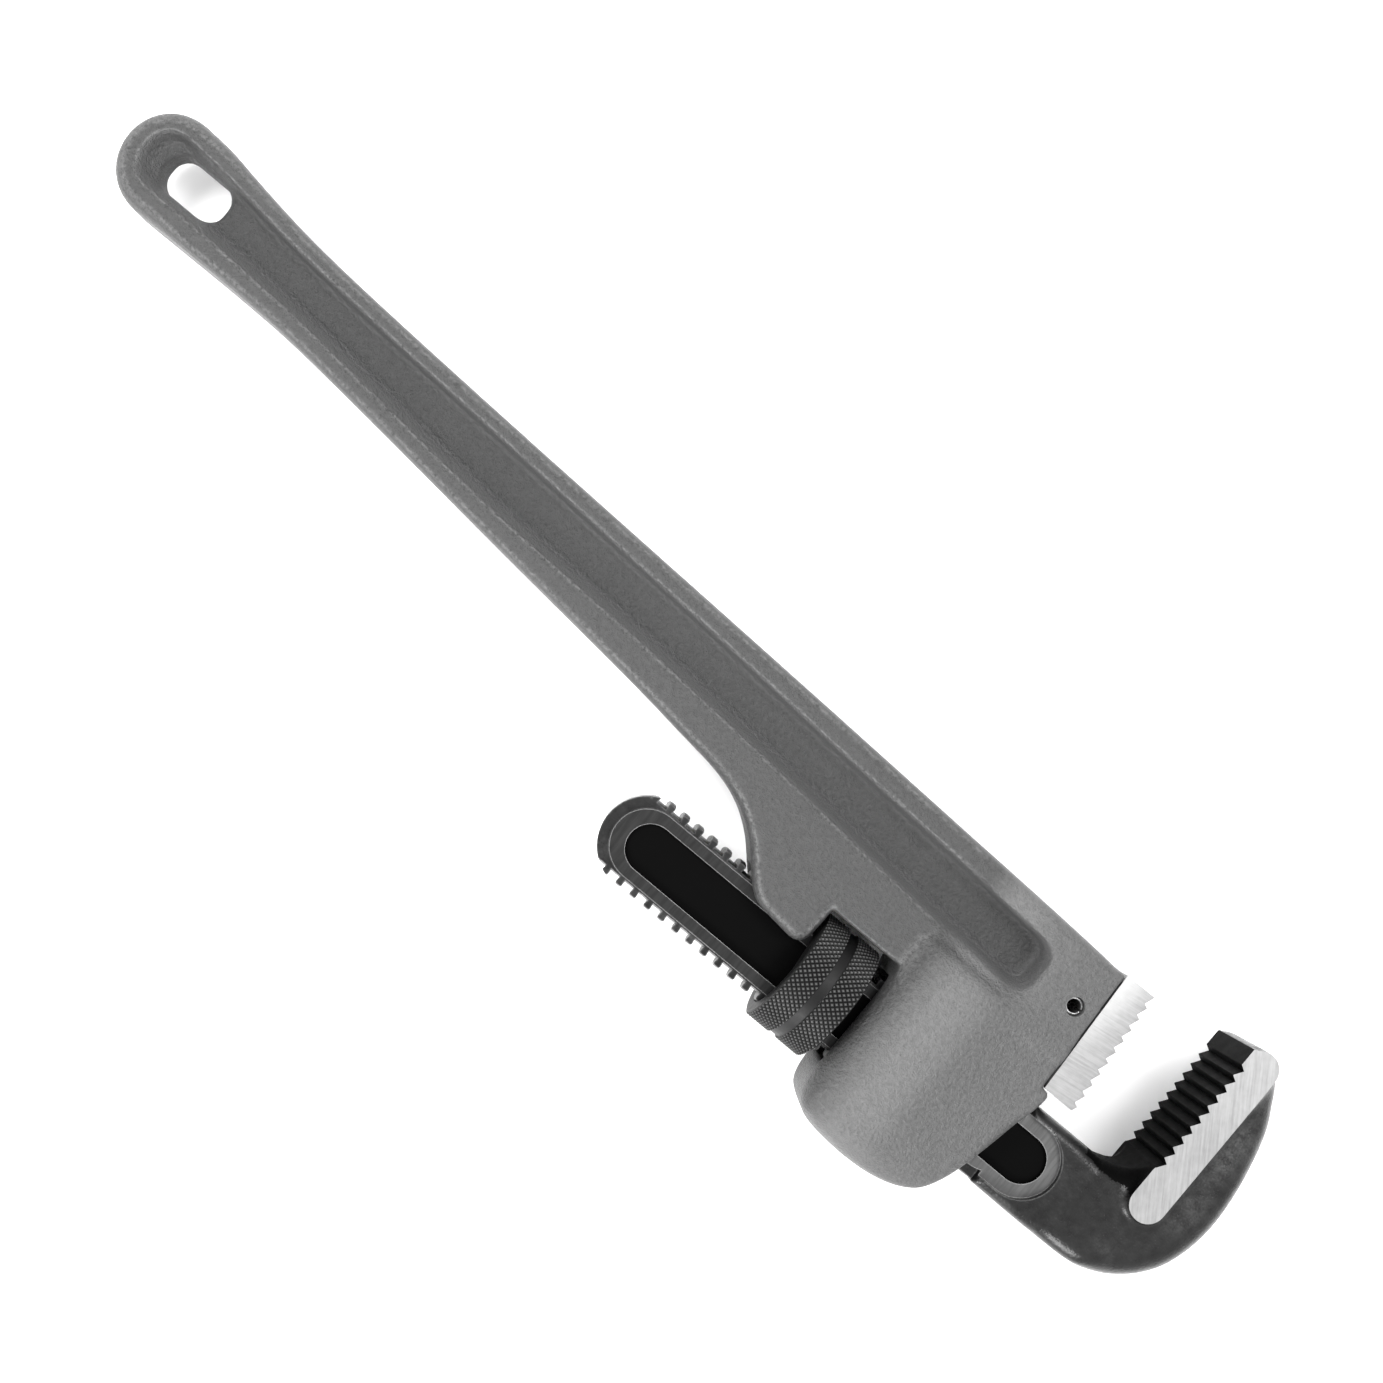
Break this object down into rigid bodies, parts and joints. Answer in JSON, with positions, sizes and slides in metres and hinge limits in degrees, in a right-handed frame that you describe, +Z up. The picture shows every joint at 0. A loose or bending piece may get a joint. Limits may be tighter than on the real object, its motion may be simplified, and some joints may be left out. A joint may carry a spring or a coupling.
{
  "type": "pipe wrench",
  "caption": "Straight pipe wrench: cast I-beam handle and housing, toothed heel and hook jaws, and a knurled ring nut on the hook jaw's threaded shank.",
  "frame": {"origin": "middle of the footprint of the tool lying on its side, at the bottom", "axes": "+X along the hook jaw's shank, from the handle end to the jaws; +Y across the tool, towards the jaws' tips; +Z up, through the tool's thickness"},
  "size_m": [0.4384, 0.1102, 0.0392],
  "materials": {
    "cast_aluminium": "matt grey casting with a fine grain",
    "ground_steel": "ground bright",
    "forged_steel": "dark forging scale, semi-gloss",
    "blacked_steel": "blacked, bright on the knurl's points",
    "spring_steel": "satin"
  },
  "bodies": {
    "housing": {"handle": "cast_aluminium", "heel_jaw": "ground_steel", "heel_jaw_pin": "spring_steel", "coil_spring": "spring_steel"},
    "rocker": {"flat_spring": "spring_steel"},
    "nut": {"adjusting_nut": "blacked_steel"},
    "hook": {"hook_jaw": "forged_steel"}
  },
  "joints": [
    {"name": "jaw_rock", "type": "hinge", "parent": "housing", "child": "rocker", "pos_m": [0.08776, -0.02241, 0.0196], "axis": [0, 0, 1], "range_deg": [0, 2], "stiffness_Nm_per_rad": 8, "springref_deg": -6.88, "deforming": ["coil_spring"]},
    {"name": "nut_spin", "type": "hinge", "parent": "rocker", "child": "nut", "pos_m": [0.08776, -0.02241, 0.0196], "axis": [1, 0, 0], "range_deg": [-2749, 1650]},
    {"name": "hook_slide", "type": "slide", "parent": "rocker", "child": "hook", "axis": [1, 0, 0], "range_m": [-0.024, 0.04]}
  ],
  "couplings": [
    {"joint": "nut_spin", "follows": "hook_slide", "rad_per_m": -1199.1}
  ]
}
